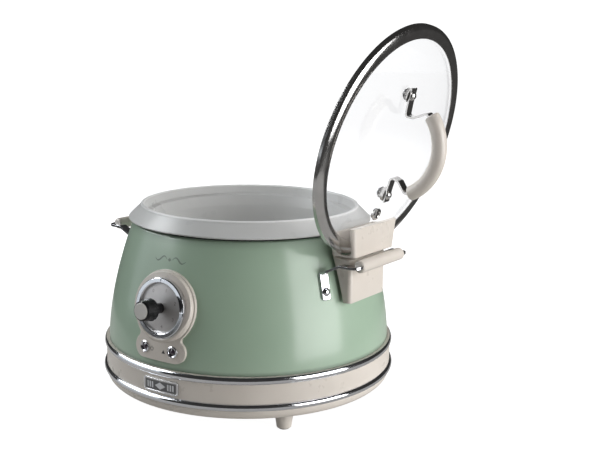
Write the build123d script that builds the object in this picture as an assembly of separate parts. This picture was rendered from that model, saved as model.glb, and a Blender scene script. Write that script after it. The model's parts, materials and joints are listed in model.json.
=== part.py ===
"""Round countertop slow cooker with a lift-out crock and a lid parked upright in a lid rest.

Millimetres, +Z up.  -Y is the front with the dial, +X is the side that carries the lid rest.
Everything is drawn about the cooker's own upright axis.  At the end the model is moved so that
its origin is on the table, under the middle of the whole object with its lid parked.
"""
from build123d import *
from math import asin, atan2, cos, degrees, radians, sin, sqrt
import os

# ---------------------------------------------------------------- driving dimensions
WALL = 1.2                 # sheet steel of the outer shell
SHELL_FOOT_R = 145.6       # shell radius at the base band
SHELL_LOW_Z = 53.0
SHELL_BEND_Z = 60.0        # the shell is straight below this height
SHELL_TOP_Z = 180.0
SHELL_PULL_IN = 24.1       # how far the shell has drawn in, 115 mm above the bend
SHELL_PULL_SPAN = 115.0
SHELL_PULL_POWER = 1.7
SHELL_ROLL = 2.2           # height of the rounded edge at the shell's top
SHELL_MOUTH_R = 108.6
PLAY = 0.1                 # clearance of pieces that sit in holes
AXIS_X = -29.35            # where the cooker's axis stands in the finished frame
AXIS_Y = 9.78

BAND_R = 148.6             # cream base band
BAND_TOP_Z = 62.0
BAND_SKIRT_Z = 29.5
BAND_BOTTOM_Z = 21.0
BAND_BOTTOM_R = 144.8
BAND_INSIDE_R = 139.0
BAND_LEDGE_R = 140.5       # inner edge of the ledge that carries the shell
BAND_LEDGE_Z = 51.0
BOSS_RING_R = 137.5        # screw bosses inside the band
BOSS_ANGLES = [20, 80, 140, 200, 260, 320]
TRIM_HEIGHT = 7.0
LOWER_TRIM_OUT = 2.8       # how far each chrome ring stands off the band
UPPER_TRIM_OUT = 1.7

COVER_Z = 21.5             # underside of the bottom cover
COVER_T = 2.0
COVER_R = 142.8
COVER_TOP_Z = COVER_Z + COVER_T
BUSH_Z = 44.5              # cord bush in the middle of the band, at the back
BUSH_R = 6.2
BUSH_BORE_R = 3.8
FOOT_X = 99.0
FOOT_Y = 69.0
FOOT_TOP_R = 10.0
FOOT_BOTTOM_R = 7.0
PAD_R = 5.4
PAD_T = 2.0
SELF_TAP_R = 1.6           # screws of the base and the control panel

CROCK_BOTTOM_Z = 52.0
CROCK_WALL = 6.5
CROCK_LIP_Z = 185.0        # underside of the crock's collar
CROCK_TOP_Z = 199.5
CROCK_NECK_Z = 178.0
COLLAR_LOW_R = 123.3
COLLAR_TOP_R = 110.5
LINER_LOW_Z = 70.0
LINER_LOW_R = 98.5
LINER_TOP_Z = 180.2
LINER_TOP_R = 106.5
LINER_FLANGE_R = 112.0
LINER_T = 0.8
HEATER_Z = (78.0, 118.0)   # height of the band heater round the liner
HEATER_T = 2.4
WRAP_T = 4.0

CONTROL_AZ = -86.0         # the control panel, in degrees from +X
NAMEPLATE_AZ = -84.5
DIAL_Z = 119.3
DIAL_FRONT_R = 145.0       # distance of the dial ring's front from the cooker's axis
DIAL_TILT = 7.0            # the control panel leans back with the shell
DIAL_RING_R = 28.4
DIAL_HOLE_R = 23.5
DIAL_RIM_T = 3.6
DIAL_DEPTH = 14.0
BEZEL_R = 35.2
BEZEL_PROUD = 2.8
LOBE_R = 11.0
LOBE_U = 18.6
LOBE_V = -38.8
LAMP_AZ = 6.4              # degrees each side of the panel's middle
LAMP_Z = 79.8
LAMP_R = 4.0
KNOB_BASE_R = 10.6
KNOB_TIP_R = 9.2
KNOB_OUT = 25.0
KNOB_BACK = 11.4           # the knob stands this far off the dial, on its stem
KNOB_STEM_R = 5.0
KNOB_FLUTES = 16
CAP_R = 7.7
CAP_DEPTH = 1.6
SHAFT_R = 3.0
SHAFT_PLAY = 0.05
NAMEPLATE_Z = 45.7
NAMEPLATE_W = 40.0
NAMEPLATE_H = 13.2
NAMEPLATE_PROUD = 1.5

GRIP_X = 158.5             # side handles
GRIP_Z = 160.7
GRIP_R = 6.0
GRIP_HALF = 37.0
STRAP_W = 10.4
STRAP_T = 2.2
STRAP_AZ = 19.3            # degrees from the handle's own axis
STRAP_SCREW_Z = 133.5
STRAP_SCREW_R = 2.0

REST_Y_LOW = 34.5          # half width of the lid rest's trough at its foot
REST_Y_TOP = 38.5
REST_OUT_LOW = 152.2
REST_OUT_TOP = 153.4
REST_IN_X = 125.0
REST_FLOOR_Z = 167.2
REST_TOP_Z = 195.0
REST_LEG_X = 146.0
REST_LEG_Y = 30.5
REST_LEG_Z = 122.0
REST_WALL = 2.2
REST_GAP = 4.4             # between the leg and the shell
REST_SLOT_X = (127.5, 148.8)
REST_SLOT_Z = 163.6

LID_R = 110.9
LID_LEAN = 16.0
LID_X = 168.3              # centre of the lid's rim plane when parked
LID_Z = 271.8
LID_SKIRT = 5.8
RIM_IN_R = 98.4
RIM_T = 0.9
GLASS_T = 4.0
GLASS_RISE = 6.4           # how far the glass domes above the rim plane
LID_TURN = 2.5             # degrees by which the lid stands turned in its rest
LID_FOOT_S = 48.0          # the lid handle's screws, from the lid's centre
LID_SCREW_R = 2.5
LID_STRAP_T = 1.8
LID_STRAP_W = 9.0
UPPER_COLLAR = 1.6         # spacer between the glass and each end of the lid handle
LOWER_COLLAR = 3.6
LID_GRIP_R = 6.9
LID_GRIP_ARC_R = 49.0
LID_GRIP_HALF = 37.6
VENT_S = -70.5

# ---------------------------------------------------------------- helpers
parts = {}
SHELL_HEIGHTS = [SHELL_BEND_Z + (SHELL_TOP_Z - SHELL_BEND_Z) * k / 8 for k in range(9)]


def shell_radius(z):
    """Outer radius of the shell at height z."""
    climb = max(0.0, z - SHELL_BEND_Z) / SHELL_PULL_SPAN
    return SHELL_FOOT_R - SHELL_PULL_IN * climb ** SHELL_PULL_POWER


def shell_slope(z):
    """Angle in degrees by which the shell leans inward at height z."""
    return degrees(atan2(shell_radius(z - 1) - shell_radius(z + 1), 2.0))


def liner_radius(z):
    """Inner radius of the heating liner's tapered wall."""
    share = (z - LINER_LOW_Z) / (LINER_TOP_Z - LINER_LOW_Z)
    return LINER_LOW_R + share * (LINER_TOP_R - LINER_LOW_R)


def turned(curves):
    """Solid of revolution about Z from joined curves drawn as (radius, height)."""
    edges = [edge for curve in curves for edge in (Plane.XZ * curve).edges()]
    return revolve(make_face(edges), Axis.Z)


def lathe(*outline):
    """Solid of revolution about Z from a closed (radius, height) polygon."""
    return revolve(make_face(Plane.XZ * Polyline(*outline, close=True)), Axis.Z)


def shell_curve(offset_out):
    """Points of the shell's profile, moved outward by an offset."""
    return [(shell_radius(z) + offset_out, z) for z in SHELL_HEIGHTS]


def shell_skin(inner, outer):
    """Layer over the shell between two offsets from its outer surface."""
    out = shell_curve(outer)
    back = shell_curve(inner)[::-1]
    return turned([Spline(*out), Line(out[-1], back[0]), Spline(*back), Line(back[-1], out[0])])


def rod(radius, low_z, high_z, x=0.0, y=0.0):
    """Upright cylinder between two heights."""
    upright = (Align.CENTER, Align.CENTER, Align.MIN)
    return Pos(x, y, low_z) * Cylinder(radius, high_z - low_z, align=upright)


def tube(outer, inner, low_z, high_z, x=0.0, y=0.0):
    """Upright tube between two heights."""
    return rod(outer, low_z, high_z, x, y) - rod(inner, low_z - 1, high_z + 1, x, y)


def block(x0, x1, y0, y1, z0, z1):
    """Box given by its limits."""
    return Pos((x0 + x1) / 2, (y0 + y1) / 2, (z0 + z1) / 2) * Box(x1 - x0, y1 - y0, z1 - z0)


def polar(radius, angle):
    """X and Y of a point at an angle in degrees from +X."""
    return radius * cos(radians(angle)), radius * sin(radians(angle))


def dome_screw(head_r, head_h, shank_r, shank_len):
    """Domed screw along +Z, its head's underside at z = 0."""
    bulge = (head_r ** 2 + head_h ** 2) / (2 * head_h)
    head = Pos(0, 0, head_h - bulge) * Sphere(bulge) & rod(head_r, 0, head_h + 1)
    return head + rod(shank_r, -shank_len, 0)


def hex_nut(size_r, bore_r, height):
    """Hexagon nut along +Z from z = 0."""
    return extrude(RegularPolygon(size_r, 6), height) - rod(bore_r, -1, height + 1)


def outward_plane(radius, azimuth, z, tilt):
    """Frame at a radius from the axis: azimuth in degrees from +X, local Z outward, local X level."""
    x, y = polar(radius, azimuth)
    across, along = polar(cos(radians(tilt)), azimuth)
    side_x, side_y = polar(1.0, azimuth + 90)
    return Plane(origin=(x, y, z), x_dir=(side_x, side_y, 0), z_dir=(across, along, sin(radians(tilt))))


def on_shell(azimuth, z):
    """Frame lying on the shell."""
    return outward_plane(shell_radius(z), azimuth, z, shell_slope(z))


def group(pieces):
    """Several separate solids kept in one node."""
    return Compound([solid for piece in pieces for solid in piece.solids()])


control_plane = outward_plane(DIAL_FRONT_R, CONTROL_AZ, DIAL_Z, DIAL_TILT)
lamp_planes = {"left": on_shell(CONTROL_AZ - LAMP_AZ, LAMP_Z),
               "right": on_shell(CONTROL_AZ + LAMP_AZ, LAMP_Z)}
lean_x = sin(radians(LID_LEAN))
lean_z = cos(radians(LID_LEAN))
# In this frame local Y runs up the leaning lid through its handle, and local Z is the lid's top side.
level, rising = polar(1.0, LID_TURN)
lid_plane = Plane(origin=(LID_X, 0, LID_Z), x_dir=(rising * lean_x, level, rising * lean_z),
                  z_dir=(lean_z, 0, -lean_x))


# ---------------------------------------------------------------- base
def make_base_band():
    skirt = Spline((BAND_BOTTOM_R, BAND_BOTTOM_Z), (BAND_BOTTOM_R + 2.4, BAND_BOTTOM_Z + 2.5),
                   (BAND_R, BAND_SKIRT_Z))
    rebate_r = COVER_R + PLAY
    section = Polyline((BAND_R, BAND_SKIRT_Z), (BAND_R, BAND_TOP_Z), (SHELL_FOOT_R, BAND_TOP_Z),
                       (SHELL_FOOT_R, SHELL_LOW_Z), (BAND_LEDGE_R, SHELL_LOW_Z), (BAND_LEDGE_R, BAND_LEDGE_Z),
                       (BAND_R - 2.6, BAND_LEDGE_Z), (BAND_R - 2.6, 31.0), (rebate_r, 26.0),
                       (BAND_INSIDE_R, 26.0), (BAND_INSIDE_R, COVER_TOP_Z), (rebate_r, COVER_TOP_Z),
                       (rebate_r, BAND_BOTTOM_Z), (BAND_BOTTOM_R, BAND_BOTTOM_Z))
    band = turned([skirt, section])
    spots = [polar(BOSS_RING_R, angle) for angle in BOSS_ANGLES]
    for x, y in spots:
        band += rod(4.6, COVER_TOP_Z, 36, x, y)
    for x, y in spots:
        band -= rod(SELF_TAP_R, 0, 34, x, y)
    to_bush = Pos(0, BAND_R, BUSH_Z) * Rot(90, 0, 0)
    parts["base_band"] = band - to_bush * Cylinder(BUSH_R, 16)
    screw = Rot(180, 0, 0) * dome_screw(3.4, 1.6, SELF_TAP_R, 11)
    parts["base_screws"] = group([Pos(x, y, COVER_Z) * screw for x, y in spots])

    bush = rod(BUSH_R, -2.4, 6.0) + rod(BUSH_R + 1.6, -2.4, 0) - rod(BUSH_BORE_R, -10, 10)
    parts["cord_bush"] = Pos(0, BAND_R + 0.05, BUSH_Z) * Rot(90, 0, 0) * bush


def make_trim_ring(name, low, out):
    """Rounded chrome bead round the base band."""
    high = low + TRIM_HEIGHT
    bulge = ThreePointArc((BAND_R, low), (BAND_R + out, (low + high) / 2), (BAND_R, high))
    parts[name] = turned([bulge, Line((BAND_R, high), (BAND_R, low))])


def make_bottom_cover(foot_spots):
    cover = rod(COVER_R, COVER_Z, COVER_TOP_Z)
    slot = Pos(0, 0, COVER_Z + COVER_T / 2) * Box(11, 3.2, 3 * COVER_T)
    for ring_r, count in ((45, 12), (62, 18), (79, 24)):
        for k in range(count):
            cover -= Rot(0, 0, 360 * k / count) * Pos(ring_r, 0, 0) * slot
    for x, y in foot_spots:
        cover += rod(5.2, COVER_TOP_Z, 31, x, y)
        cover -= rod(1.9, 0, 40, x, y)
    for angle in BOSS_ANGLES:
        x, y = polar(BOSS_RING_R, angle)
        cover -= rod(SELF_TAP_R, 0, 40, x, y)
    parts["bottom_cover"] = cover


def make_feet(feet):
    upright = (Align.CENTER, Align.CENTER, Align.MIN)
    recess = 0.8
    cone = Cone(FOOT_BOTTOM_R, FOOT_TOP_R, COVER_Z - recess, align=upright)
    foot = Pos(0, 0, recess) * fillet(cone.edges().sort_by(Axis.Z)[0], 1.2)
    foot -= rod(PAD_R, 0, PAD_T) + rod(4.2, 0, 12) + rod(1.8, 0, 30)
    for name, (x, y) in feet.items():
        parts["foot_" + name] = Pos(x, y) * foot
    parts["foot_pads"] = group([rod(PAD_R, 0, PAD_T, x, y) for x, y in feet.values()])
    screw = Rot(180, 0, 0) * dome_screw(3.6, 2.0, 1.8, 17)
    parts["foot_screws"] = group([Pos(x, y, 12) * screw for x, y in feet.values()])


# ---------------------------------------------------------------- shell and what is inside it
def make_shell():
    outer = shell_curve(0)
    inner = shell_curve(-WALL)[::-1]
    neck = outer[-1][0]
    top = SHELL_TOP_Z + SHELL_ROLL
    edges = [Line((SHELL_FOOT_R, SHELL_LOW_Z), outer[0]), Spline(*outer),
             ThreePointArc(outer[-1], (neck - 0.9, top - 0.6), (neck - 2.4, top)),
             Polyline((neck - 2.4, top), (SHELL_MOUTH_R, top), (SHELL_MOUTH_R, top - WALL),
                      (neck - 2.6, top - WALL), inner[0]),
             Spline(*inner),
             Polyline(inner[-1], (SHELL_FOOT_R - WALL, SHELL_LOW_Z), (SHELL_FOOT_R, SHELL_LOW_Z))]
    shell = turned(edges)
    shell -= control_plane * rod(DIAL_RING_R + PLAY, -40, 10)
    for place in lamp_planes.values():
        shell -= place * rod(LAMP_R + PLAY, -8, 8)
    for azimuth in (-STRAP_AZ, STRAP_AZ, 180 - STRAP_AZ, 180 + STRAP_AZ):
        shell -= on_shell(azimuth, STRAP_SCREW_Z) * rod(STRAP_SCREW_R + PLAY, -8, 8)
    parts["outer_shell"] = shell

    seat_z = CROCK_LIP_Z - 0.3
    parts["crock_seat_ring"] = lathe((109.5, top), (116.0, top), (115.4, seat_z), (110.1, seat_z))


def make_liner():
    floor = CROCK_BOTTOM_Z - 2.0
    corner = LINER_LOW_Z - floor
    bulge = 1 - sqrt(0.5)
    flat_r = LINER_LOW_R - corner
    wall_r = LINER_LOW_R + LINER_T
    inside_corner = (LINER_LOW_R - corner * bulge, floor + corner * bulge)
    thick_corner = (corner + LINER_T) * bulge
    outside_corner = (wall_r - thick_corner, floor - LINER_T + thick_corner)
    flange_z = LINER_TOP_Z - LINER_T
    edges = [Line((0, floor), (flat_r, floor)),
             ThreePointArc((flat_r, floor), inside_corner, (LINER_LOW_R, LINER_LOW_Z)),
             Polyline((LINER_LOW_R, LINER_LOW_Z), (LINER_TOP_R, LINER_TOP_Z), (LINER_FLANGE_R, LINER_TOP_Z),
                      (LINER_FLANGE_R, flange_z), (liner_radius(flange_z) + LINER_T, flange_z),
                      (wall_r, LINER_LOW_Z)),
             ThreePointArc((wall_r, LINER_LOW_Z), outside_corner, (flat_r, floor - LINER_T)),
             Polyline((flat_r, floor - LINER_T), (0, floor - LINER_T), (0, floor))]
    parts["heating_liner"] = turned(edges)
    pillars = [polar(66, angle) for angle in (30, 120, 210, 300)]
    parts["liner_pillars"] = group([tube(4.5, 1.8, COVER_TOP_Z, floor - LINER_T, x, y) for x, y in pillars])


def liner_sleeve(inner, outer):
    """Sleeve round the liner at the heater's height, between two offsets from the liner's inside."""
    low, high = HEATER_Z
    return lathe((liner_radius(low) + inner, low), (liner_radius(low) + outer, low),
                 (liner_radius(high) + outer, high), (liner_radius(high) + inner, high))


def make_heating():
    heater_out = LINER_T + HEATER_T
    heater_gap = block(80, 130, -3, 3, HEATER_Z[0] - 8, HEATER_Z[1] + 8)
    parts["heater_band"] = liner_sleeve(LINER_T, heater_out) - heater_gap
    parts["insulation_wrap"] = liner_sleeve(heater_out, heater_out + WRAP_T)

    under = CROCK_BOTTOM_Z - 2.0 - LINER_T
    parts["thermostat"] = rod(9.0, under - 7, under, 26, -14) + rod(2.2, under - 11, under - 7, 26, -14)
    fuse = Pos(-24, -10, under - 3.5) * Rot(0, 90, 0) * Cylinder(2.4, 26)
    parts["thermal_cutout"] = fuse
    bracket = block(-28, -20, -18, -2, under - 1.0, under)
    for y in (-15.5, -4.5):
        bracket += block(-28, -20, y - 2.2, y + 2.2, under - 6.4, under)
    parts["cutout_bracket"] = bracket - fuse

    screw_xs = (-13, 0, 13)
    terminal = block(-20, 20, 84, 102, COVER_TOP_Z, 36)
    for x in screw_xs:
        terminal -= rod(2.2, 30, 40, x, 93)
    parts["terminal_block"] = terminal
    parts["terminal_screws"] = group([Pos(x, 93, 33.0) * dome_screw(2.2, 0.9, 1.0, 3.0) for x in screw_xs])


# ---------------------------------------------------------------- front controls
def make_bezel():
    outline = Circle(BEZEL_R) + Pos(0, LOBE_V) * SlotCenterToCenter(2 * LOBE_U, 2 * LOBE_R)
    outline = fillet(outline.vertices().filter_by(lambda v: v.Y > LOBE_V), 4.0)
    prism = control_plane * Pos(0, 0, -24) * extrude(outline, 34)
    bezel = (prism & shell_skin(0, BEZEL_PROUD)).solids().sort_by(Axis.Y)[0]
    bezel -= control_plane * rod(DIAL_RING_R + PLAY, -30, 10)
    for place in lamp_planes.values():
        bezel -= place * rod(LAMP_R + PLAY, -4, 8)
    lip_r = DIAL_RING_R + PLAY
    lip = lathe((lip_r, -12), (lip_r, -1.4), (lip_r + 1.0, -0.9), (lip_r + 2.6, -1.5), (lip_r + 4.4, -3.6),
                (lip_r + 5.2, -5.6), (lip_r + 5.2, -12))
    bezel += (control_plane * lip) & shell_skin(0, BEZEL_PROUD + 4)
    parts["control_bezel"] = bezel


def make_dial():
    ring = tube(DIAL_RING_R, DIAL_HOLE_R, -DIAL_RIM_T, 0)
    ring += tube(DIAL_RING_R, DIAL_HOLE_R - 2.0, -DIAL_DEPTH, -DIAL_RIM_T)
    rims = ring.edges().filter_by(GeomType.CIRCLE).group_by(Axis.Z)[-1]
    ring = chamfer(rims, 0.8)
    for k in range(4):
        ring -= Rot(0, 0, 90 * k) * Pos((DIAL_RING_R + DIAL_HOLE_R) / 2, 0, -0.2) * Box(6, 0.9, 1.4)
    parts["dial_ring"] = control_plane * ring

    face_rise = 1.4
    bulge = (DIAL_HOLE_R ** 2 + face_rise ** 2) / (2 * face_rise)
    dome = Pos(0, 0, -3.0 + face_rise - bulge) * Sphere(bulge)
    face = (dome & rod(DIAL_HOLE_R - PLAY, -DIAL_RIM_T, 2)) - rod(SHAFT_R + 0.6, -10, 4)
    parts["dial_face"] = control_plane * face

    screws = [polar(19, angle) for angle in (90, 210, 330)]
    back_z = -DIAL_DEPTH - 3.0
    carrier = tube(31.5, SHAFT_R + 0.6, back_z, -DIAL_DEPTH)
    for x, y in screws:
        carrier -= rod(SELF_TAP_R, back_z - 4, 0, x, y)
    parts["dial_carrier"] = control_plane * carrier
    screw = Rot(180, 0, 0) * dome_screw(2.8, 1.4, SELF_TAP_R, 3.0)
    parts["carrier_screws"] = control_plane * group([Pos(x, y, back_z) * screw for x, y in screws])

    switch = Pos(0, 0, back_z - 6) * Box(26, 26, 12) - rod(SHAFT_R + SHAFT_PLAY, -40, 0)
    parts["rotary_switch"] = control_plane * switch
    tabs = [Pos(x, side * 16.0, back_z - 8) * Box(6.3, 6.0, 0.8) for x in (-8, 8) for side in (-1, 1)]
    parts["switch_terminals"] = control_plane * group(tabs)


def make_lamps():
    front = BEZEL_PROUD + PLAY
    flange = lathe((3.4, 1.6), (LAMP_R, 1.6), (LAMP_R, front), (5.6, front),
                   (5.5, 3.7), (4.7, 4.3), (3.8, 3.9), (3.4, 3.2))
    lens = Pos(0, 0, -1.2) * Sphere(5.1) & rod(3.4, 1.6, 6)
    holder = rod(LAMP_R, -7, 1.6) + tube(5.6, LAMP_R, -3.4, -1.6)
    for name, place in lamp_planes.items():
        parts["lamp_body_" + name] = place * holder
        parts["lamp_ring_" + name] = place * flange
        parts["lamp_lens_" + name] = place * lens


def make_knob():
    cone_top = KNOB_OUT - 1.4
    knob = lathe((0, -1.4), (KNOB_STEM_R, -1.4), (KNOB_STEM_R, KNOB_BACK), (KNOB_BASE_R - 0.7, KNOB_BACK),
                 (KNOB_BASE_R, KNOB_BACK + 0.9), (KNOB_TIP_R, cone_top), (KNOB_TIP_R - 1.2, KNOB_OUT),
                 (0, KNOB_OUT))
    groove = Pos(KNOB_BASE_R + 0.6, 0, KNOB_OUT / 2 + 4) * Rot(0, -3.4, 0) * Cylinder(1.3, KNOB_OUT + 6)
    for k in range(KNOB_FLUTES):
        knob -= Rot(0, 0, 360 * (k + 0.5) / KNOB_FLUTES) * groove
    cap_z = KNOB_OUT - CAP_DEPTH
    knob -= rod(CAP_R, cap_z, KNOB_OUT + 1) + rod(SHAFT_R, -3, 15)
    cap = rod(CAP_R, cap_z, KNOB_OUT + 0.6)
    parts["knob"] = control_plane * knob
    parts["knob_cap"] = control_plane * fillet(cap.edges().sort_by(Axis.Z)[-1], 0.9)
    parts["knob_shaft"] = control_plane * rod(SHAFT_R, -28, 15)


def make_nameplate():
    """Blank plate in a chrome frame, both bent round the base band."""
    def bent(inner, outer, width, height, corner):
        low = NAMEPLATE_Z - NAMEPLATE_H
        high = NAMEPLATE_Z + NAMEPLATE_H
        skin = lathe((BAND_R + inner, low), (BAND_R + outer, low),
                     (BAND_R + outer, high), (BAND_R + inner, high))
        front = Plane(origin=(0, -BAND_R + 30, NAMEPLATE_Z), x_dir=(1, 0, 0), z_dir=(0, -1, 0))
        prism = front * extrude(RectangleRounded(width, height, corner), 60)
        return Rot(0, 0, NAMEPLATE_AZ + 90) * (skin & prism)
    edge = 2.6
    back = 0.9
    window = bent(back, NAMEPLATE_PROUD, NAMEPLATE_W - edge, NAMEPLATE_H - edge, 1.6)
    parts["nameplate_frame"] = bent(0, NAMEPLATE_PROUD, NAMEPLATE_W, NAMEPLATE_H, 2.6) - window
    parts["nameplate_field"] = bent(back, back + 0.3, NAMEPLATE_W - edge, NAMEPLATE_H - edge, 1.6)


# ---------------------------------------------------------------- side handles
def make_strap():
    """Front strap of the +X handle: tab on the shell, rising arm, hook into the grip's end."""
    azimuth = -STRAP_AZ
    tab_plane = on_shell(azimuth, STRAP_SCREW_Z)
    tab = Pos(0, 5.0, STRAP_T / 2) * Box(STRAP_W, 26, STRAP_T)
    tab = fillet(tab.edges().filter_by(Axis.Z).group_by(Axis.Y)[0], 3.0)
    tab = tab_plane * fillet(tab.edges().group_by(Axis.Z)[-1], 1.2)
    bend_z = STRAP_SCREW_Z + 17.6
    root_x, root_y = polar(shell_radius(bend_z), azimuth)
    side = FilletPolyline((root_x - 3.0, bend_z - 1.6), (root_x + 3.4, bend_z + 0.6),
                          (GRIP_X - 15.0, GRIP_Z), (GRIP_X + 8.0, GRIP_Z), radius=4.0)
    ribbon = make_face(Plane.XZ * offset(side, STRAP_T / 2, kind=Kind.TANGENT, side=Side.BOTH))
    ribbon = extrude(ribbon, 90, both=True)
    plan = FilletPolyline((root_x - 1.0, root_y), (GRIP_X, -GRIP_HALF - 6.5),
                          (GRIP_X, -GRIP_HALF + 14.0), radius=5.5)
    sheet = make_face(offset(plan, 4.6, kind=Kind.TANGENT, side=Side.BOTH))
    arm = ribbon & (Pos(0, 0, 100) * extrude(sheet, 100))
    arm -= shell_skin(-60, 0)
    return tab + arm - tab_plane * rod(STRAP_SCREW_R + PLAY, -5, 5)


def make_handles():
    strap = make_strap()
    grip = Pos(GRIP_X, 0, GRIP_Z) * Rot(90, 0, 0) * Cylinder(GRIP_R, 2 * GRIP_HALF)
    grip = fillet(grip.edges().filter_by(GeomType.CIRCLE), 2.6)
    pair = {"front": strap, "rear": mirror(strap, about=Plane.XZ)}
    for piece in pair.values():
        grip -= piece
    parts["grip_right"] = grip
    parts["grip_left"] = mirror(grip, about=Plane.YZ)
    for name, piece in pair.items():
        parts["strap_right_" + name] = piece
        parts["strap_left_" + name] = mirror(piece, about=Plane.YZ)
    places = [on_shell(azimuth, STRAP_SCREW_Z)
              for azimuth in (-STRAP_AZ, STRAP_AZ, 180 - STRAP_AZ, 180 + STRAP_AZ)]
    screw = Pos(0, 0, STRAP_T) * dome_screw(4.4, 2.6, STRAP_SCREW_R, STRAP_T + 7)
    nut = Pos(0, 0, -WALL - 3.3) * hex_nut(4.0, STRAP_SCREW_R, 3.0)
    parts["handle_screws"] = group([place * screw for place in places])
    parts["handle_nuts"] = group([place * nut for place in places])


# ---------------------------------------------------------------- crock
def make_crock():
    low = CROCK_BOTTOM_Z
    floor = low + CROCK_WALL
    foot_r = LINER_LOW_R - 2.6
    neck_r = liner_radius(CROCK_NECK_Z) - 2.4
    well_r = foot_r - CROCK_WALL
    lip = CROCK_LIP_Z
    top = CROCK_TOP_Z
    edges = [Line((0, low), (foot_r - 16, low)),
             ThreePointArc((foot_r - 16, low), (foot_r - 4.6, low + 4.7), (foot_r, low + 16)),
             Polyline((foot_r, low + 16), (neck_r, CROCK_NECK_Z), (neck_r, lip), (117.0, lip),
                      (118.0, lip + 2.6), (120.6, lip + 2.0), (121.4, lip - 0.2)),
             ThreePointArc((121.4, lip - 0.2), (122.9, lip - 0.3), (COLLAR_LOW_R, lip + 1.0)),
             Line((COLLAR_LOW_R, lip + 1.0), (COLLAR_TOP_R + 1.2, top - 2.2)),
             ThreePointArc((COLLAR_TOP_R + 1.2, top - 2.2), (COLLAR_TOP_R - 0.8, top),
                           (COLLAR_TOP_R - 3.6, top - 1.6)),
             Polyline((COLLAR_TOP_R - 3.6, top - 1.6), (105.4, 190.6), (100.4, 189.0),
                      (neck_r - CROCK_WALL, CROCK_NECK_Z), (well_r, low + 22)),
             ThreePointArc((well_r, low + 22), (well_r - 5.0, low + 11.8), (well_r - 16, floor)),
             Polyline((well_r - 16, floor), (0, floor), (0, low))]
    parts["crock"] = turned(edges)


# ---------------------------------------------------------------- lid
glass_r = RIM_IN_R - 1.0
glass_ball = (glass_r ** 2 + GLASS_RISE ** 2) / (2 * GLASS_RISE)
SETTLED = 0.8              # how deep the glass sits under the rim's top


def glass_top(r):
    """Height of the domed glass at a distance from the lid's centre."""
    return sqrt(glass_ball ** 2 - r ** 2) - glass_ball + GLASS_RISE - SETTLED


def make_lid_rim():
    """Rolled steel rim: crowned flange, rounded shoulder, straight skirt and a lip turned in under it."""
    shoulder = -2.4
    lip_r = LID_R - 4.4
    skirt = -LID_SKIRT
    inside_r = LID_R - RIM_T
    parts["lid_rim"] = lid_plane * turned([
        Line((RIM_IN_R, -0.2), (RIM_IN_R, 0.5)),
        Spline((RIM_IN_R, 0.5), (RIM_IN_R + 4.8, 1.6), (LID_R - 3.3, 1.1), (LID_R - 0.9, -0.2),
               (LID_R, shoulder), tangents=((1.0, 0.4), (0, -1.0))),
        Polyline((LID_R, shoulder), (LID_R, skirt + 0.8), (LID_R - 0.6, skirt), (lip_r, skirt),
                 (lip_r, skirt + 0.8), (inside_r, skirt + 0.8), (inside_r, shoulder),
                 (LID_R - 1.7, -0.7), (RIM_IN_R, -0.2))])


def make_lid_glass():
    edge_r = LID_R - 1.9
    mid = glass_r / 2
    low = -SETTLED - GLASS_T
    flat_r = 1.5
    flat_z = glass_top(flat_r)
    glass = turned([Line((0, flat_z), (flat_r, flat_z)),
                    ThreePointArc((flat_r, flat_z), (mid, glass_top(mid)), (glass_r, -SETTLED)),
                    Polyline((glass_r, -SETTLED), (edge_r, -SETTLED), (edge_r, low), (glass_r, low)),
                    ThreePointArc((glass_r, low), (mid, glass_top(mid) - GLASS_T),
                                  (flat_r, flat_z - GLASS_T)),
                    Polyline((flat_r, flat_z - GLASS_T), (0, flat_z - GLASS_T), (0, flat_z))])
    for s in (-LID_FOOT_S, LID_FOOT_S):
        glass -= rod(LID_SCREW_R + PLAY, -20, 20, 0, s)
    glass -= rod(4.2, -20, 20, 0, VENT_S)
    parts["lid_glass"] = lid_plane * glass

    under = -GLASS_T - 0.15
    vent = lathe((2.6, 1.4), (3.4, 1.9), (5.6, 1.4), (6.2, 0.15), (3.9, 0.15), (3.9, under), (5.4, under),
                 (5.2, under - 1.0), (2.6, under - 1.0))
    slope = degrees(asin(-VENT_S / glass_ball))
    parts["steam_vent"] = lid_plane * Pos(0, VENT_S, glass_top(-VENT_S)) * Rot(slope, 0, 0) * vent


def lid_strap(collar):
    """Strap at +Y of the lid's frame, from its screw to the inside of the grip's end."""
    z = glass_top(LID_FOOT_S) + collar + LID_STRAP_T / 2
    path = FilletPolyline((LID_FOOT_S + 6.5, z), (LID_FOOT_S - 5.5, z), (29.0, z + 0.8), (30.5, z + 9.0),
                          (39.0, 27.0), (35.5, 32.5), radius=3.0)
    ribbon = make_face(Plane.YZ * offset(path, LID_STRAP_T / 2, kind=Kind.TANGENT, side=Side.BOTH))
    return extrude(ribbon, LID_STRAP_W / 2, both=True) - rod(LID_SCREW_R + PLAY, -20, 30, 0, LID_FOOT_S)


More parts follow.
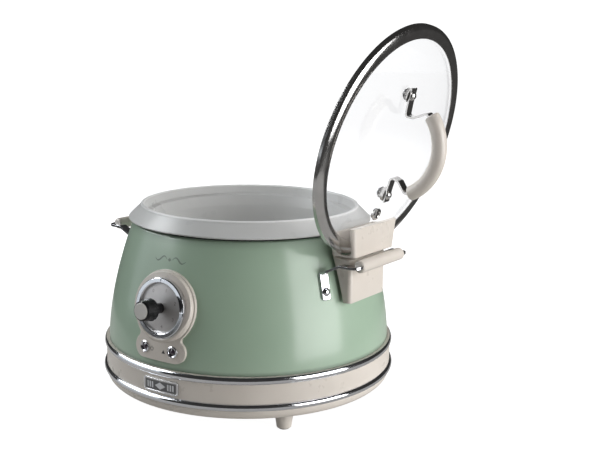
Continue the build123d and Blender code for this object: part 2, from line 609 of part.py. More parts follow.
def make_lid_handle():
    gap = 0.45             # the flat washers clear the domed glass by this much
    under_z = glass_top(LID_FOOT_S) - GLASS_T - gap
    washers = []
    screws = []
    nuts = []
    for s, collar in ((LID_FOOT_S, UPPER_COLLAR), (-LID_FOOT_S, LOWER_COLLAR)):
        strap_z = glass_top(LID_FOOT_S) + collar
        washers.append(tube(7.0, LID_SCREW_R + PLAY, glass_top(LID_FOOT_S) + gap, strap_z, 0, s))
        washers.append(tube(5.6, LID_SCREW_R + PLAY, under_z - 1.0, under_z, 0, s))
        head_z = strap_z + LID_STRAP_T
        screws.append(Pos(0, s, head_z) * dome_screw(4.4, 2.8, LID_SCREW_R, head_z - under_z + 3.2))
        nuts.append(Pos(0, s, under_z - 3.0) * hex_nut(4.2, LID_SCREW_R + PLAY, 2.0))
    parts["lid_washers"] = lid_plane * group(washers)
    parts["lid_screws"] = lid_plane * group(screws)
    parts["lid_nuts"] = lid_plane * group(nuts)

    upper = lid_strap(UPPER_COLLAR)
    lower = mirror(lid_strap(LOWER_COLLAR), about=Plane.XZ)
    sweep_half = degrees(asin(LID_GRIP_HALF / LID_GRIP_ARC_R))
    grip_path = Plane.YZ * CenterArc((0, -1.0), LID_GRIP_ARC_R, 90 - sweep_half, 2 * sweep_half)
    grip = sweep(Plane(origin=grip_path @ 0, z_dir=grip_path % 0) * Circle(LID_GRIP_R), grip_path)
    grip = fillet(grip.edges().filter_by(GeomType.CIRCLE), 1.6)
    parts["lid_strap_upper"] = lid_plane * upper
    parts["lid_strap_lower"] = lid_plane * lower
    parts["lid_grip"] = lid_plane * (grip - upper - lower)


# ---------------------------------------------------------------- lid rest
def make_lid_rest():
    """Moulded trough that hangs over the +X grip and holds the lid upright."""
    def outline(z, x0, x1, half):
        return Pos((x0 + x1) / 2, 0, z) * RectangleRounded(x1 - x0, 2 * half, 3.6)
    trough = loft([outline(REST_FLOOR_Z, REST_IN_X + 1.0, REST_OUT_LOW, REST_Y_LOW),
                   outline(REST_TOP_Z, REST_IN_X, REST_OUT_TOP, REST_Y_TOP)])
    trough -= block(REST_IN_X - 5, 132.0, -60, 60, 189.5, 230)
    leg = block(105, REST_LEG_X, -REST_LEG_Y, REST_LEG_Y, REST_LEG_Z, REST_FLOOR_Z + 1)
    leg = fillet(leg.edges().filter_by(Axis.Z).group_by(Axis.X)[-1], 4.0)
    leg -= shell_skin(-60, REST_GAP)
    leg_in_y = REST_LEG_Y - REST_WALL
    hollow = block(105, REST_LEG_X - REST_WALL, -leg_in_y, leg_in_y, REST_LEG_Z - 1, REST_FLOOR_Z - 8.0)
    hollow -= shell_skin(-60, REST_GAP + REST_WALL)
    slot_in_y = REST_Y_LOW - REST_WALL
    slot = block(*REST_SLOT_X, -slot_in_y, slot_in_y, REST_SLOT_Z, 230)
    side_cut = block(131.7, 148.7, -60, 60, 168.6, 230)
    side_cut = fillet(side_cut.edges().filter_by(Axis.Y).group_by(Axis.Z)[0], 5.0)
    parts["lid_rest"] = trough + leg - hollow - slot - side_cut


foot_places = {"front_right": (FOOT_X, -FOOT_Y), "front_left": (-FOOT_X, -FOOT_Y),
               "rear_right": (FOOT_X, FOOT_Y), "rear_left": (-FOOT_X, FOOT_Y)}
make_base_band()
make_trim_ring("lower_trim_ring", BAND_SKIRT_Z, LOWER_TRIM_OUT)
make_trim_ring("upper_trim_ring", BAND_TOP_Z - TRIM_HEIGHT, UPPER_TRIM_OUT)
make_bottom_cover(foot_places.values())
make_feet(foot_places)
make_shell()
make_liner()
make_heating()
make_bezel()
make_dial()
make_lamps()
make_knob()
make_nameplate()
make_handles()
make_crock()
make_lid_rim()
make_lid_glass()
make_lid_handle()
make_lid_rest()

os.makedirs("parts", exist_ok=True)
for name, shape in parts.items():
    export_step(Pos(AXIS_X, AXIS_Y) * shape, "parts/" + name + ".step")
print(len(parts), "nodes")
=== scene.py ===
import bpy
import json
import math
from mathutils import Matrix, Vector
from mathutils.bvhtree import BVHTree


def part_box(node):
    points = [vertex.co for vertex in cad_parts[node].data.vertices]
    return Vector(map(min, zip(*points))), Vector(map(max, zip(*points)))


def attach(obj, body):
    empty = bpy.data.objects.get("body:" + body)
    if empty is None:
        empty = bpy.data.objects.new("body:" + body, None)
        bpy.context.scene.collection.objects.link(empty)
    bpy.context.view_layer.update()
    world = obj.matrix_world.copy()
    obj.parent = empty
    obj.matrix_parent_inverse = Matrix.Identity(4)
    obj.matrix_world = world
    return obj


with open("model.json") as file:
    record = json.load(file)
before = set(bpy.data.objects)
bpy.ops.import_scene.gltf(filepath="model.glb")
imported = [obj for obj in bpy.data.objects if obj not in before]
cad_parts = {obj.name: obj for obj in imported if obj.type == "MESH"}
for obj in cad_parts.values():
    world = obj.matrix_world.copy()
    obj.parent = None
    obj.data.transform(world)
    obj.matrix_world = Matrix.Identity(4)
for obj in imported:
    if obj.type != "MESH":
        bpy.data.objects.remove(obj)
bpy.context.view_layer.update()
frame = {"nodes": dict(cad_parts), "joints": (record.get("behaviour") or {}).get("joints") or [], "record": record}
nodes = frame["nodes"]


def middle(name):
    """Middle of a node's box."""
    low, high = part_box(name)
    return (low + high) / 2


AXIS = middle("outer_shell")          # a point on the cooker's upright axis
MM = 0.001

# ---------------------------------------------------------------- camera
VIEW_AZIMUTH = math.radians(36.0)     # from the front, towards +X
VIEW_HEIGHT = math.radians(11.36)
VIEW_ROLL = math.radians(0.79)
VIEW_DISTANCE = 0.9862
VIEW_CENTRE_Z = 0.120
VIEW_RIGHT = 0.0530                   # how far the camera sits right of and above that centre
VIEW_UP = 0.0529
LENS = 56.316                         # millimetres, on a sensor of this width
SENSOR = 36.0


def add_camera():
    """Camera in front and to the right, aimed near the cooker's axis and rolled very slightly."""
    level = math.cos(VIEW_HEIGHT)
    back = Vector((math.sin(VIEW_AZIMUTH) * level, -math.cos(VIEW_AZIMUTH) * level, math.sin(VIEW_HEIGHT)))
    right = (-back).cross(Vector((0, 0, 1))).normalized()
    up = right.cross(-back)
    c, s = math.cos(VIEW_ROLL), math.sin(VIEW_ROLL)
    right, up = right * c + up * s, up * c - right * s
    centre = Vector((AXIS.x, AXIS.y, VIEW_CENTRE_Z))
    spot = centre + right * VIEW_RIGHT + up * VIEW_UP + back * VIEW_DISTANCE
    data = bpy.data.cameras.new("camera")
    data.sensor_width = SENSOR
    data.sensor_fit = "HORIZONTAL"
    data.lens = LENS
    data.clip_start = 0.05
    camera = bpy.data.objects.new("camera", data)
    camera.matrix_world = Matrix.Translation(spot) @ Matrix((right, up, back)).transposed().to_4x4()
    bpy.context.scene.collection.objects.link(camera)
    bpy.context.scene.camera = camera


# ---------------------------------------------------------------- studio
LIGHTS_Z = 0.1                        # the height that the lights face
POWER_PER_RADIANCE = 4                # watts for each square metre of light
DAYLIGHT = (0.95, 0.98, 1.0)
SURROUND_R = 9.0                      # the white surround, and half the floor's side
FLOOR_Z = -0.5 * MM
FLOOR_GLOW = (0.90, 1.05)             # under the cooker, and from FLOOR_GLOW_REACH outwards
FLOOR_GLOW_REACH = (0.30, 0.75)
SURROUND_GLOW = 1.1
TABLE_R = 0.50
TABLE_Z = -0.4 * MM
TABLE_GLOW = 0.28
ROOM_GLOW = (0.06, 0.035)             # below and above the horizon
HORIZON = (-0.10, 0.06)               # where one fades into the other, as the height of a unit vector


def towards(azimuth, height):
    """Unit vector from the cooker: azimuth in degrees from the front towards +X, height above level."""
    a, h = math.radians(azimuth), math.radians(height)
    return Vector((math.sin(a) * math.cos(h), -math.cos(a) * math.cos(h), math.sin(h)))


def softbox(name, azimuth, height, distance, width, tall, radiance, tint=(1, 1, 1), mirrored=True,
            lighting=True):
    """Rectangular soft light facing the cooker, radiance being its brightness when seen in a mirror.
    With mirrored it shows in glossy surfaces, and with lighting it lights matt ones."""
    data = bpy.data.lights.new(name, "AREA")
    data.shape = "RECTANGLE"
    data.size = width
    data.size_y = tall
    data.energy = POWER_PER_RADIANCE * radiance * width * tall
    data.color = tint
    light = bpy.data.objects.new(name, data)
    out = towards(azimuth, height)
    light.matrix_world = Matrix.Translation(Vector((AXIS.x, AXIS.y, LIGHTS_Z)) + out * distance) \
        @ out.to_track_quat("Z", "Y").to_matrix().to_4x4()
    light.visible_camera = False
    light.visible_glossy = mirrored
    light.visible_diffuse = lighting
    light.visible_transmission = False
    bpy.context.scene.collection.objects.link(light)


def only_seen(obj):
    """The object is a background: the camera sees it, but it lights and shades nothing."""
    obj.visible_diffuse = False
    obj.visible_glossy = False
    obj.visible_shadow = False


def add_mesh(name, points, faces, material):
    """New object in the scene, with one mesh and one material."""
    mesh = bpy.data.meshes.new(name)
    mesh.from_pydata(points, [], faces)
    mesh.materials.append(material)
    obj = bpy.data.objects.new(name, mesh)
    bpy.context.scene.collection.objects.link(obj)
    return obj


def add_floor():
    """Pale floor, a little greyer round the cooker."""
    look = Look("floor_paint")
    look.colours(look.noise(3.0), (0.27, 0.27, 0.27), (0.29, 0.29, 0.29))
    look.set("Roughness", 0.9)
    look.set("Emission Color", (1, 1, 1, 1))
    reach = look.node("ShaderNodeVectorMath", operation="LENGTH")
    look.link(look.place, reach.inputs[0])
    look.link(look.spread(reach.outputs["Value"], *FLOOR_GLOW, *FLOOR_GLOW_REACH),
              look.shader.inputs["Emission Strength"])
    corners = [(x * SURROUND_R, y * SURROUND_R, FLOOR_Z) for x, y in ((-1, -1), (1, -1), (1, 1), (-1, 1))]
    only_seen(add_mesh("floor", corners, [(0, 1, 2, 3)], look.material))


def add_surround():
    """White sphere round everything."""
    white = Look("surround_white")
    white.set("Base Color", (0, 0, 0, 1))
    white.set("Specular IOR Level", 0.0)
    white.set("Emission Color", (1, 1, 1, 1))
    white.set("Emission Strength", SURROUND_GLOW)
    rings, sectors = 24, 48
    points = []
    for i in range(rings + 1):
        lift = math.radians(-90 + 180 * i / rings)
        level = SURROUND_R * math.cos(lift)
        for k in range(sectors):
            turn = 2 * math.pi * k / sectors
            points.append((level * math.cos(turn), level * math.sin(turn), SURROUND_R * math.sin(lift)))
    quads = [(i * sectors + k, i * sectors + (k + 1) % sectors, (i + 1) * sectors + (k + 1) % sectors,
              (i + 1) * sectors + k) for i in range(rings) for k in range(sectors)]
    only_seen(add_mesh("surround", points, quads, white.material))


def add_table():
    """Grey table top that the cooker mirrors, unseen by the camera."""
    look = Look("table_paint")
    look.colours(look.noise(4.0), (0.10, 0.10, 0.10), (0.12, 0.12, 0.12))
    look.set("Roughness", 0.9)
    look.set("Emission Color", (1.0, 0.98, 0.95, 1))
    look.set("Emission Strength", TABLE_GLOW)
    steps = 64
    turns = [2 * math.pi * k / steps for k in range(steps)]
    edge = [(AXIS.x + TABLE_R * math.cos(turn), AXIS.y + TABLE_R * math.sin(turn), TABLE_Z) for turn in turns]
    table = add_mesh("table", edge, [tuple(range(steps))], look.material)
    table.visible_camera = False
    table.visible_transmission = False
    table.visible_shadow = False


def add_world():
    """Dim room, a little lighter below the horizon."""
    world = bpy.data.worlds.new("studio")
    world.use_nodes = True
    tree = world.node_tree
    coords = tree.nodes.new("ShaderNodeTexCoord")
    split = tree.nodes.new("ShaderNodeSeparateXYZ")
    ramp = tree.nodes.new("ShaderNodeMapRange")
    ramp.interpolation_type = "SMOOTHSTEP"
    for socket, value in zip(("From Min", "From Max", "To Min", "To Max"), (*HORIZON, *ROOM_GLOW)):
        ramp.inputs[socket].default_value = value
    tree.links.new(coords.outputs["Generated"], split.inputs[0])
    tree.links.new(split.outputs["Z"], ramp.inputs["Value"])
    background = tree.nodes["Background"]
    background.inputs["Color"].default_value = (1.0, 0.98, 0.96, 1)
    tree.links.new(ramp.outputs["Result"], background.inputs["Strength"])
    bpy.context.scene.world = world


# ---------------------------------------------------------------- materials
class Look:
    """A Principled material being built. Patterns run in the piece's own coordinates, in metres."""

    def __init__(self, name):
        self.material = bpy.data.materials.new(name)
        self.material.use_nodes = True
        self.tree = self.material.node_tree
        self.shader = self.tree.nodes["Principled BSDF"]
        self.place = self.node("ShaderNodeTexCoord").outputs["Object"]

    def node(self, kind, **settings):
        made = self.tree.nodes.new(kind)
        for key, value in settings.items():
            setattr(made, key, value)
        return made

    def set(self, socket, value):
        self.shader.inputs[socket].default_value = value

    def link(self, output, socket):
        self.tree.links.new(output, socket)

    def frame_at(self, matrix):
        """Coordinates in the frame of a 4x4 matrix."""
        mapping = self.node("ShaderNodeMapping", vector_type="TEXTURE")
        mapping.inputs["Location"].default_value = matrix.to_translation()
        mapping.inputs["Rotation"].default_value = matrix.to_euler()
        self.link(self.place, mapping.inputs["Vector"])
        return mapping.outputs["Vector"]

    def noise(self, scale, detail=2.0, stretch=(1, 1, 1)):
        """Noise from 0 to 1, with about scale bumps per metre."""
        mapping = self.node("ShaderNodeMapping")
        mapping.inputs["Scale"].default_value = stretch
        self.link(self.place, mapping.inputs["Vector"])
        made = self.node("ShaderNodeTexNoise")
        made.inputs["Scale"].default_value = scale
        made.inputs["Detail"].default_value = detail
        self.link(mapping.outputs["Vector"], made.inputs["Vector"])
        return made.outputs["Fac"]

    def rings(self, matrix, period):
        """Fine turned rings round a matrix's Z axis."""
        wave = self.node("ShaderNodeTexWave", wave_type="RINGS", rings_direction="Z")
        wave.inputs["Scale"].default_value = math.pi / (10 * period)
        wave.inputs["Distortion"].default_value = 0.6
        self.link(self.frame_at(matrix), wave.inputs["Vector"])
        return wave.outputs["Fac"]

    def spread(self, factor, low, high, start=0.3, end=0.7):
        """A number that goes from low to high as factor goes from start to end."""
        ramp = self.node("ShaderNodeMapRange")
        for socket, value in (("From Min", start), ("From Max", end), ("To Min", low), ("To Max", high)):
            ramp.inputs[socket].default_value = value
        self.link(factor, ramp.inputs["Value"])
        return ramp.outputs["Result"]

    def blend(self, factor, first, second):
        """Colour between two colours or colour outputs."""
        mix = self.node("ShaderNodeMix", data_type="RGBA")
        self.link(factor, mix.inputs["Factor"])
        first_colour, second_colour, mixed = mix.inputs[6], mix.inputs[7], mix.outputs[2]
        for socket, value in ((first_colour, first), (second_colour, second)):
            if isinstance(value, tuple):
                socket.default_value = (*value, 1)
            else:
                self.link(value, socket)
        return mixed

    def colours(self, factor, first, second):
        """Base colour that wanders between two colours. Returns its output."""
        colour = self.blend(self.spread(factor, 0, 1), first, second)
        self.link(colour, self.shader.inputs["Base Color"])
        return colour

    def height(self):
        """Height above the table, in metres."""
        split = self.node("ShaderNodeSeparateXYZ")
        self.link(self.place, split.inputs[0])
        return split.outputs["Z"]

    def roughness(self, factor, low, high):
        self.link(self.spread(factor, low, high), self.shader.inputs["Roughness"])

    def rounded(self, radius):
        """Shading normal with edges rounded to a radius."""
        bevel = self.node("ShaderNodeBevel", samples=4)
        bevel.inputs["Radius"].default_value = radius
        return bevel.outputs["Normal"]

    def relief(self, factor, depth, under=None):
        """Bump of a depth in metres, over another normal."""
        bump = self.node("ShaderNodeBump")
        bump.inputs["Distance"].default_value = depth
        bump.inputs["Strength"].default_value = 1.0
        self.link(factor, bump.inputs["Height"])
        if under is not None:
            self.link(under, bump.inputs["Normal"])
        return bump.outputs["Normal"]

    def normal(self, output, coat=False):
        self.link(output, self.shader.inputs["Normal"])
        if coat:
            self.link(output, self.shader.inputs["Coat Normal"])

    def edge(self, radius):
        """Mask that is 1 on sharp edges and 0 on open faces."""
        geometry = self.node("ShaderNodeNewGeometry")
        dot = self.node("ShaderNodeVectorMath", operation="DOT_PRODUCT")
        self.link(self.rounded(radius), dot.inputs[0])
        self.link(geometry.outputs["Normal"], dot.inputs[1])
        return self.spread(dot.outputs["Value"], 1, 0, 0.86, 0.99)


def metal(name, colour, shade, rough, smudge, grain=None, depth=0.000002, edge=0.0003):
    """Bare or plated metal with smudges, and brushed grain where grain gives its stretch."""
    look = Look(name)
    look.set("Metallic", 1.0)
    look.colours(look.noise(45, 3), colour, shade)
    look.roughness(look.noise(70, 4), rough, rough + smudge)
    fine = look.noise(900, 2, grain) if grain else look.noise(120, 2)
    look.normal(look.relief(fine, depth, look.rounded(edge)))
    return look.material


def moulded(name, colour, shade, rough, grain=1500, depth=0.000012, worn=None, edge=0.0006, gloss=0.5):
    """Moulded plastic or rubber: faint mottling, fine grain and slightly worn edges."""
    look = Look(name)
    base = look.colours(look.noise(28, 4), colour, shade)
    if worn:
        mask = look.edge(edge)
        look.link(look.blend(mask, base, worn), look.shader.inputs["Base Color"])
    look.roughness(look.noise(60, 3), rough - 0.05, rough + 0.06)
    look.set("Specular IOR Level", gloss)
    look.normal(look.relief(look.noise(grain, 2), depth, look.rounded(edge)))
    return look.material


def painted(name):
    """Baked semi-gloss enamel with orange peel, with painted shade along its lower edge and painted shade just
    under the crock.
    """
    look = Look(name)
    low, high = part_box("outer_shell")
    colour = look.blend(look.spread(look.noise(18, 4), 0, 1), (0.312, 0.420, 0.317), (0.330, 0.440, 0.335))
    # painted shade: the body's colour darkened towards its lower edge
    foot_shade = look.spread(look.height(), 0.75, 0.0, low.z + 9 * MM, low.z + 13 * MM)
    # painted shade: the body's colour darkened just under the crock's collar
    top = look.spread(look.height(), 0.0, 0.35, high.z - 8 * MM, high.z)
    colour = look.blend(foot_shade, colour, (0.10, 0.13, 0.10))
    colour = look.blend(top, colour, (0.12, 0.15, 0.12))
    look.link(colour, look.shader.inputs["Base Color"])
    look.roughness(look.noise(40, 3), 0.34, 0.42)
    look.set("Specular IOR Level", 0.3)
    look.set("Coat Weight", 0.7)
    look.set("Coat Roughness", 0.17)
    peel = look.relief(look.noise(420, 2), 0.000006, look.rounded(0.0005))
    look.normal(peel, coat=True)
    return look.material


def glazed(name):
    """Stoneware glaze: pooled tone, fine dark specks, and a painted highlight as a paler line along the rim."""
    look = Look(name)
    rim_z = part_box("crock")[1].z
    colour = look.blend(look.spread(look.noise(14, 4), 0, 1), (0.600, 0.600, 0.588), (0.645, 0.645, 0.635))
    cells = look.node("ShaderNodeTexVoronoi", feature="F1")
    cells.inputs["Scale"].default_value = 260
    look.link(look.place, cells.inputs["Vector"])
    speck = look.spread(cells.outputs["Distance"], 0.22, 0.0, 0.04, 0.09)
    colour = look.blend(speck, colour, (0.30, 0.29, 0.27))
    # painted highlight: colour blended paler along the top of the rim
    rim = look.spread(look.height(), 0.0, 0.9, rim_z - 1.6 * MM, rim_z - 0.7 * MM)
    colour = look.blend(rim, colour, (0.90, 0.90, 0.89))
    look.link(colour, look.shader.inputs["Base Color"])
    look.roughness(look.noise(30, 3), 0.26, 0.34)
    look.set("Specular IOR Level", 0.25)
    look.set("Coat Weight", 0.12)
    look.set("Coat Roughness", 0.16)
    look.normal(look.relief(look.noise(90, 3), 0.00005, look.rounded(0.0012)), coat=True)
    return look.material


def clear_glass(name):
    """Toughened glass, faintly blue, with the slight waviness of pressed glass."""
    look = Look(name)
    look.colours(look.noise(12, 2), (0.950, 0.953, 0.964), (0.958, 0.962, 0.970))
    look.roughness(look.noise(35, 3), 0.0, 0.015)
    look.set("Transmission Weight", 1.0)
    look.set("IOR", 1.46)
    look.normal(look.relief(look.noise(22, 2), 0.00002))
    return look.material


def spun(name, colour, shade, matrix, period, rough):
    """Metal turned on a lathe: fine rings round an axis."""
    look = Look(name)
    look.set("Metallic", 0.85)
    look.colours(look.noise(60, 3), colour, shade)
    look.roughness(look.noise(90, 3), rough, rough + 0.08)
    look.normal(look.relief(look.rings(matrix, period), 0.000006, look.rounded(0.0002)))
    return look.material


def woven(name):
    """Pressed glass-fibre wrap."""
    look = Look(name)
    look.colours(look.noise(600, 5, (1, 1, 3)), (0.74, 0.70, 0.60), (0.88, 0.86, 0.80))
    look.roughness(look.noise(300, 2), 0.85, 0.95)
    look.normal(look.relief(look.noise(900, 4, (1, 1, 4)), 0.0003))
    return look.material


def lens(name):
    """Dark tinted lamp lens."""
    look = Look(name)
    look.colours(look.noise(400, 2), (0.020, 0.012, 0.022), (0.050, 0.034, 0.052))
    look.roughness(look.noise(200, 2), 0.05, 0.10)
    look.set("Coat Weight", 1.0)
    look.set("Coat Roughness", 0.03)
    return look.material


def joint_frame(name):
    """4x4 frame at a joint, its Z pointing against the joint's axis and its Y upwards."""
    joint = next(j for j in frame["joints"] if j["name"] == name)
    out = -Vector(joint["axis"]).normalized()
    across = Vector((0, 0, 1)).cross(out).normalized()
    upward = out.cross(across)
    turned = Matrix((across, upward, out)).transposed().to_4x4()
    return Matrix.Translation(Vector(joint["pos_m"])) @ turned


DIAL = joint_frame("knob_turn")


def make_looks():
    """One material for each slot of the record."""
    return {
        "green_paint": painted("green_paint"),
        "cream_plastic": moulded("cream_plastic", (0.600, 0.549, 0.494), (0.636, 0.587, 0.532), 0.31,
                                 worn=(0.68, 0.64, 0.59), gloss=0.7),
        "chrome": metal("chrome", (0.80, 0.81, 0.84), (0.74, 0.75, 0.78), 0.08, 0.06),
        "steel": metal("steel", (0.56, 0.56, 0.57), (0.46, 0.46, 0.47), 0.24, 0.10, grain=(1, 1, 8)),
        "polished_steel": metal("polished_steel", (0.70, 0.69, 0.68), (0.60, 0.59, 0.58), 0.13, 0.08),
        "crock_glaze": glazed("crock_glaze"),
        "glass": clear_glass("glass"),
        "black_plastic": moulded("black_plastic", (0.005, 0.005, 0.006), (0.010, 0.010, 0.011), 0.26,
                                 worn=(0.020, 0.020, 0.022), edge=0.0004, gloss=0.28),
        "dark_plastic": moulded("dark_plastic", (0.030, 0.030, 0.032), (0.045, 0.045, 0.048), 0.55, grain=800,
                                depth=0.00004),
        "cap_plastic": moulded("cap_plastic", (0.560, 0.545, 0.515), (0.620, 0.600, 0.570), 0.34,
                               worn=(0.72, 0.70, 0.67), edge=0.0004),
        "dial_silver": spun("dial_silver", (0.60, 0.575, 0.565), (0.66, 0.64, 0.63), DIAL, 0.35 * MM, 0.34),
        "lens_dark": lens("lens_dark"),
        "rubber": moulded("rubber", (0.022, 0.022, 0.022), (0.034, 0.034, 0.033), 0.72, grain=2200,
                          depth=0.00003, gloss=0.3),
        "aluminium": metal("aluminium", (0.70, 0.70, 0.72), (0.62, 0.62, 0.64), 0.30, 0.12, grain=(1, 1, 14),
                           depth=0.000006),
        "fibre": woven("fibre"),
        "terminal_white": moulded("terminal_white", (0.76, 0.74, 0.69), (0.83, 0.81, 0.77), 0.5),
        "brass": metal("brass", (0.72, 0.55, 0.26), (0.60, 0.44, 0.20), 0.22, 0.12),
        "mica": moulded("mica", (0.30, 0.22, 0.14), (0.48, 0.38, 0.25), 0.45, grain=300, depth=0.00005),
    }


# ---------------------------------------------------------------- drawn details, in millimetres
PRINT_T = 0.05                        # how proud printed marks stand
LINE_W = 0.5
DROP = 20.0                           # marks are dropped onto a surface from this height
LIFT = 0.02                           # and start this far off it

NUMERALS = 7
NUMERAL_SIZE = 4.6
NUMERAL_R = 17.6                      # from the dial's middle
NUMERAL_STEP = 51.4                   # degrees from one to the next, clockwise
ZERO_AT = 124.0                       # degrees, where the 0 stands
TICK_R = (21.2, 22.3)

POWER_R = 1.75
POWER_ARC = (125, 415)                # degrees, open at the top
POWER_BAR = (0.5, 2.5)
TRIANGLE = ((-2.0, -1.5), (2.0, -1.5), (0, 2.0))
POWER_PLACE = (0.27, -0.4)            # part of the way between the lamps, and height over them
HEAT_PLACE = (0.69, -1.4)

PLATE_LENGTH = 35.6                   # dark ground of the nameplate
PLATE_HEIGHT = 9.4
PLATE_GROUND_T = 0.03
PLATE_RELIEF = 0.25
PLATE_BARS = (9.0, 11.8, 14.6)        # each side of the plate's middle
BAR_HALF = 2.9
BAR_W = 1.5
DIAMOND = (6.0, 3.6)                  # half its width and half its height

SCROLL_TURN = -0.99                   # degrees round from the dial's middle
SCROLL_RISE = 42.8                    # over the dial's middle
SCROLL_START = 3.2                    # each side of its own middle
SCROLL_LENGTH = 15.4
SCROLL_WAVE = 2.7
SCROLL_FADE = 0.3                     # part of the wave's height lost towards the ends
SCROLL_W = (0.3, 1.1)                 # width at the ends, and what is added in the middle
SCROLL_DIAMOND = (2.0, 1.7)

POINTER_R = (7.95, 8.9)               # across the knob's rim, outside its cap
POINTER_W = 1.1
POINTER_OUT = 20.0                    # its drawing plane, out from the dial


def ribbon(points, widths):
    """Flat strip along a line: vertices and faces, in millimetres."""
    verts, faces = [], []
    for i, (x, y) in enumerate(points):
        before, after = points[max(i - 1, 0)], points[min(i + 1, len(points) - 1)]
        along = Vector((after[0] - before[0], after[1] - before[1])).normalized()
        half = widths[i] / 2
        verts += [(x - along.y * half, y + along.x * half), (x + along.y * half, y - along.x * half)]
        if i:
            faces.append((2 * i - 2, 2 * i - 1, 2 * i + 1, 2 * i))
    return verts, faces


def arc(radius, start, end, width, steps=28):
    """Ribbon along an arc round the origin, in degrees."""
    turns = [math.radians(start + (end - start) * i / steps) for i in range(steps + 1)]
    return ribbon([(radius * math.cos(t), radius * math.sin(t)) for t in turns], [width] * (steps + 1))


def bar(x, low, high, width, steps=4):
    """Upright ribbon."""
    return ribbon([(x, low + (high - low) * i / steps) for i in range(steps + 1)], [width] * (steps + 1))


def diamond(half_width, half_height):
    """Upright diamond round the origin."""
    return [(-half_width, 0), (0, -half_height), (half_width, 0), (0, half_height)], [(0, 1, 2, 3)]


def digit(text, size):
    """A numeral's outline as a flat mesh, in millimetres about its own middle."""
    curve = bpy.data.curves.new("numeral", "FONT")
    curve.body = text
    curve.size = size
    curve.align_x = "CENTER"
    curve.align_y = "CENTER"
    holder = bpy.data.objects.new("numeral", curve)
    bpy.context.scene.collection.objects.link(holder)
    bpy.context.view_layer.update()
    mesh = bpy.data.meshes.new_from_object(holder.evaluated_get(bpy.context.evaluated_depsgraph_get()))
    shape = [tuple(v.co.xy) for v in mesh.vertices], [tuple(p.vertices) for p in mesh.polygons]
    bpy.data.objects.remove(holder)
    bpy.data.meshes.remove(mesh)
    return shape


def shifted(shape, dx, dy):
    """The same flat shape, moved."""
    verts, faces = shape
    return [(x + dx, y + dy) for x, y in verts], faces


def draped(name, shapes, plane, target, proud, body, material):
    """Thin raised marks lying on a CAD node: flat shapes in a plane, dropped along its Z onto the node."""
    surface = BVHTree.FromObject(nodes[target], bpy.context.evaluated_depsgraph_get())
    down = -(plane.to_3x3() @ Vector((0, 0, 1)))
    verts, faces = [], []
    for flat, polygons in shapes:
        first = len(verts)
        for x, y in flat:
            start = plane @ Vector((x * MM, y * MM, DROP * MM))
            hit, normal, _, _ = surface.ray_cast(start, down)
            verts.append(hit + normal * LIFT * MM)
        faces += [tuple(first + i for i in polygon) for polygon in polygons]
    piece = add_mesh(name, verts, faces, material)
    piece.data.update()
    if piece.data.polygons[0].normal.dot(down) > 0:
        piece.data.flip_normals()
    thick = piece.modifiers.new("thickness", "SOLIDIFY")
    thick.thickness = proud * MM
    thick.offset = 1.0
    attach(piece, body)


def shell_frame(azimuth, z):
    """Frame beside the round body: azimuth in degrees from +X, Z outward and level, Y up."""
    a = math.radians(azimuth)
    out = Vector((math.cos(a), math.sin(a), 0))
    across = Vector((-out.y, out.x, 0))
    turned = Matrix((across, Vector((0, 0, 1)), out)).transposed().to_4x4()
    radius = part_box("outer_shell")[1].x - AXIS.x
    return Matrix.Translation(Vector((AXIS.x, AXIS.y, z)) + out * radius) @ turned


def azimuth_of(name):
    """Degrees from +X round the cooker's axis to a node's middle."""
    spot = middle(name) - AXIS
    return math.degrees(math.atan2(spot.y, spot.x))


def add_dial_marks():
    """Numerals and ticks round the dial."""
    ink = moulded("dial_ink", (0.20, 0.17, 0.165), (0.27, 0.235, 0.23), 0.5)
    marks = []
    ticks = []
    for k in range(NUMERALS):
        turn = math.radians(ZERO_AT - NUMERAL_STEP * k)
        marks.append(shifted(digit(str(k), NUMERAL_SIZE), NUMERAL_R * math.cos(turn),
                             NUMERAL_R * math.sin(turn)))
        ends = [(r * math.cos(turn), r * math.sin(turn)) for r in TICK_R]
        ticks.append(ribbon(ends, [LINE_W] * 2))
    draped("dial_numerals", marks + ticks, DIAL, "dial_face", PRINT_T, "base", ink)


def add_lamp_icons():
    """Power mark beside the left lamp, triangle beside the right one."""
    ink = moulded("printed_ink", (0.050, 0.046, 0.044), (0.075, 0.070, 0.066), 0.5)
    left, right = azimuth_of("lamp_ring_left"), azimuth_of("lamp_ring_right")
    lamp_z = middle("lamp_ring_left").z
    power = [arc(POWER_R, *POWER_ARC, LINE_W), bar(0, *POWER_BAR, LINE_W)]
    triangle = [(TRIANGLE, [(0, 1, 2)])]
    icons = (("power_icon", power, POWER_PLACE), ("heat_icon", triangle, HEAT_PLACE))
    for name, shapes, (part, rise) in icons:
        place = shell_frame(left + part * (right - left), lamp_z + rise * MM)
        draped(name, shapes, place, "control_bezel", PRINT_T, "base", ink)


def add_nameplate_marks():
    """Dark ground with pale bars and a diamond on it."""
    ground = moulded("nameplate_ink", (0.105, 0.105, 0.110), (0.140, 0.140, 0.145), 0.4)
    pale = moulded("nameplate_enamel", (0.62, 0.62, 0.64), (0.70, 0.70, 0.72), 0.3)
    plate = shell_frame(azimuth_of("nameplate_frame"), middle("nameplate_frame").z)
    steps = 24
    line = [(PLATE_LENGTH * (i / steps - 0.5), 0) for i in range(steps + 1)]
    backing = ribbon(line, [PLATE_HEIGHT] * (steps + 1))
    draped("nameplate_backing", [backing], plate, "nameplate_field", PLATE_GROUND_T, "base",
           ground)
    bars = [bar(side * x, -BAR_HALF, BAR_HALF, BAR_W) for side in (-1, 1) for x in PLATE_BARS]
    draped("nameplate_ornament", bars + [diamond(*DIAMOND)], plate, "nameplate_field", PLATE_RELIEF, "base",
           pale)


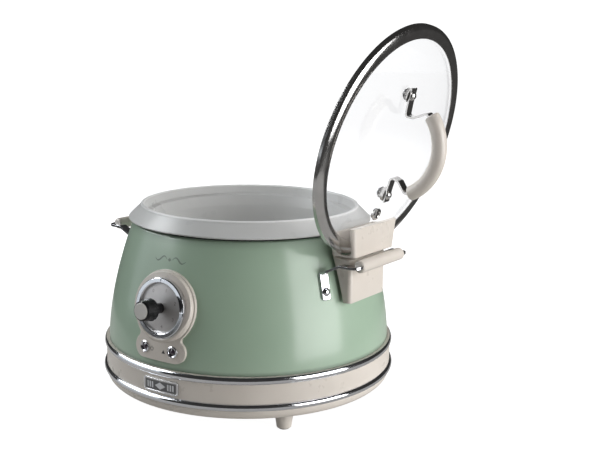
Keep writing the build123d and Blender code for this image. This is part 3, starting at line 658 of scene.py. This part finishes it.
def add_body_scroll():
    """Plain scroll above the dial: two waved strokes and a diamond."""
    ink = moulded("ornament_ink", (0.125, 0.165, 0.130), (0.155, 0.200, 0.160), 0.45)
    thin, swell = SCROLL_W
    steps = 30
    strokes = []
    for side in (-1, 1):
        line = []
        widths = []
        for i in range(steps + 1):
            part = i / steps
            wave = SCROLL_WAVE * math.sin(2 * math.pi * part) * (1 - SCROLL_FADE * part)
            line.append((side * (SCROLL_START + SCROLL_LENGTH * part), wave))
            widths.append(thin + swell * math.sin(math.pi * part))
        strokes.append(ribbon(line, widths))
    place = shell_frame(azimuth_of("dial_ring") + SCROLL_TURN, middle("dial_ring").z + SCROLL_RISE * MM)
    draped("body_ornament", strokes + [diamond(*SCROLL_DIAMOND)], place, "outer_shell", PRINT_T, "base",
           ink)


def add_knob_pointer(looks):
    """Pale tick on the knob's rim."""
    pointer = ribbon([(0, r) for r in POINTER_R], [POINTER_W] * 2)
    plane = DIAL @ Matrix.Translation((0, 0, POINTER_OUT * MM))
    draped("knob_pointer", [pointer], plane, "knob", PRINT_T, "knob", looks["cap_plastic"])


# ---------------------------------------------------------------- the scene
add_camera()
looks = make_looks()
slots = {row["node"]: row["material_slot"] for row in frame["record"]["subparts"]}
for name, node in nodes.items():
    node.data.materials.clear()
    node.data.materials.append(looks[slots[name]])
nodes["lid_glass"].visible_shadow = False
add_dial_marks()
add_lamp_icons()
add_nameplate_marks()
add_body_scroll()
add_knob_pointer(looks)
add_floor()
add_surround()
add_table()
add_world()
softbox("right_softbox", azimuth=93.9, height=7.5, distance=1.6, width=1.20, tall=1.28, radiance=4.0)
softbox("right_fill", azimuth=130, height=12, distance=2.0, width=1.4, tall=1.2, radiance=2.0, mirrored=False)
softbox("left_softbox", azimuth=-52, height=38, distance=1.8, width=1.30, tall=1.10, radiance=3.2,
        tint=DAYLIGHT, mirrored=False)
softbox("left_sheen", azimuth=-60, height=34, distance=1.8, width=1.40, tall=0.90, radiance=6.5,
        tint=DAYLIGHT, lighting=False)
softbox("left_wall", azimuth=-52, height=7, distance=1.8, width=1.60, tall=0.80, radiance=0.65,
        tint=(0.88, 0.94, 1.0))
softbox("back_fill", azimuth=180, height=30, distance=2.2, width=1.6, tall=1.2, radiance=2.0, mirrored=False)
softbox("rear_fill", azimuth=235, height=35, distance=2.2, width=1.4, tall=1.2, radiance=1.6, mirrored=False)
bpy.context.scene.view_settings.view_transform = "Standard"
